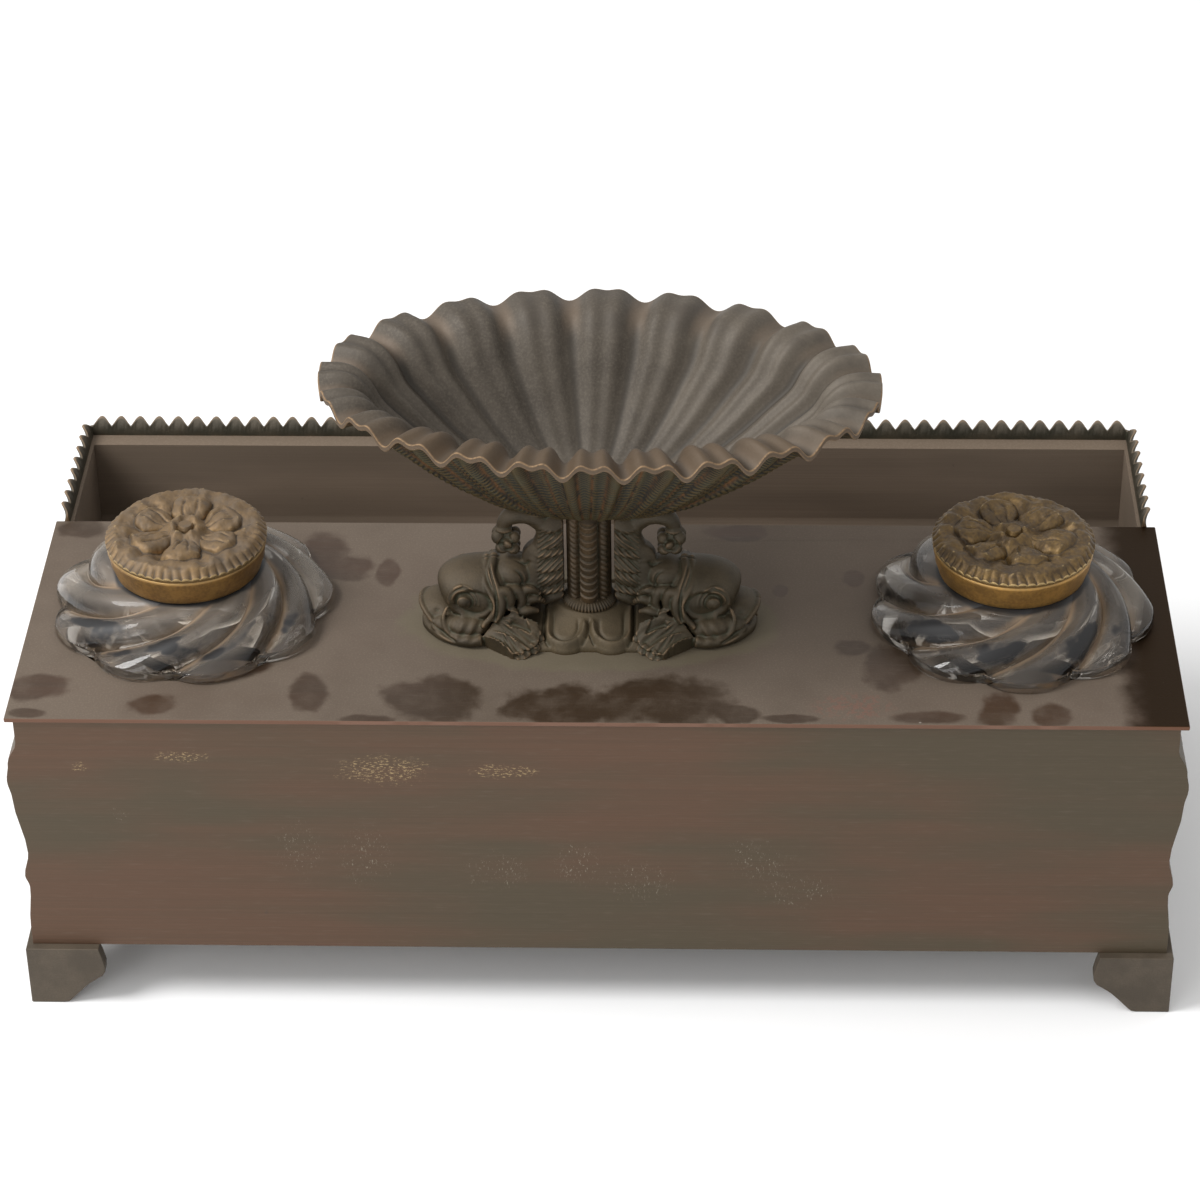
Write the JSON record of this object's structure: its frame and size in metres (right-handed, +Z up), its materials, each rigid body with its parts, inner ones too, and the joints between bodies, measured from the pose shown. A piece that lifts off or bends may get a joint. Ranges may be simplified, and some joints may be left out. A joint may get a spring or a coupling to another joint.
{
  "type": "desk inkstand",
  "caption": "Footed desk inkstand with moulded bronze case, pen trough, glass inkwells under gilt lids, and an oval fluted dish carried by dolphins.",
  "frame": {"origin": "on the table under the middle of the case, the bottom centre of the bounding box", "axes": "+X to the right along the case as the plain panel is faced, +Y from the plain panel to the pen trough, +Z up"},
  "size_m": [0.323, 0.154, 0.1777],
  "materials": {
    "brown_sheet": "bronze sheet with a dull red-brown to olive patina, brushed along its length",
    "cast_bronze": "cast bronze with a dark olive patina, worn to copper on edges",
    "dish_bronze": "cast bronze, matt grey-brown, lighter along the ridges",
    "gilt_brass": "old gilding, ochre, half matt",
    "dusty_gilt": "gilded relief under brown dust",
    "clear_glass": "clear pressed glass, polished",
    "iron": "dark iron, plain"
  },
  "bodies": {
    "case": {"rear_panel": "brown_sheet", "front_moulding": "cast_bronze", "left_moulding": "cast_bronze", "right_moulding": "cast_bronze", "leaf_rim": "cast_bronze", "top_plate": "brown_sheet", "pen_trough": "brown_sheet", "corner_brackets": "brown_sheet", "plate_brackets": "brown_sheet", "foot_rear_left": "cast_bronze", "foot_rear_right": "cast_bronze", "foot_front_left": "cast_bronze", "foot_front_right": "cast_bronze", "foot_screws": "iron", "foot_nuts": "iron", "plate_studs": "iron", "plate_nuts": "iron", "stand_base": "cast_bronze", "column_ring": "cast_bronze", "column": "cast_bronze", "dolphin_left": "cast_bronze", "dolphin_right": "cast_bronze", "dolphin_screws": "iron", "dish": "dish_bronze", "tie_rod": "iron", "tie_washer": "iron", "tie_nut": "iron"},
    "inkwell_left_body": {"inkwell_left": "clear_glass"},
    "inkwell_right_body": {"inkwell_right": "clear_glass"},
    "lid_left_body": {"lid_ring_left": "gilt_brass", "lid_sleeve_left": "gilt_brass", "lid_rosette_left": "dusty_gilt", "lid_pin_left": "dusty_gilt"},
    "lid_right_body": {"lid_ring_right": "gilt_brass", "lid_sleeve_right": "gilt_brass", "lid_rosette_right": "dusty_gilt", "lid_pin_right": "dusty_gilt"}
  },
  "joints": [
    {"name": "inkwell_left_lift", "type": "slide", "parent": "case", "child": "inkwell_left_body", "axis": [0, 0, 1], "range_m": [0, 0.052]},
    {"name": "lid_left_lift", "type": "slide", "parent": "inkwell_left_body", "child": "lid_left_body", "axis": [0, 0, 1], "range_m": [0, 0.03]},
    {"name": "inkwell_right_lift", "type": "slide", "parent": "case", "child": "inkwell_right_body", "axis": [0, 0, 1], "range_m": [0, 0.052]},
    {"name": "lid_right_lift", "type": "slide", "parent": "inkwell_right_body", "child": "lid_right_body", "axis": [0, 0, 1], "range_m": [0, 0.03]}
  ]
}
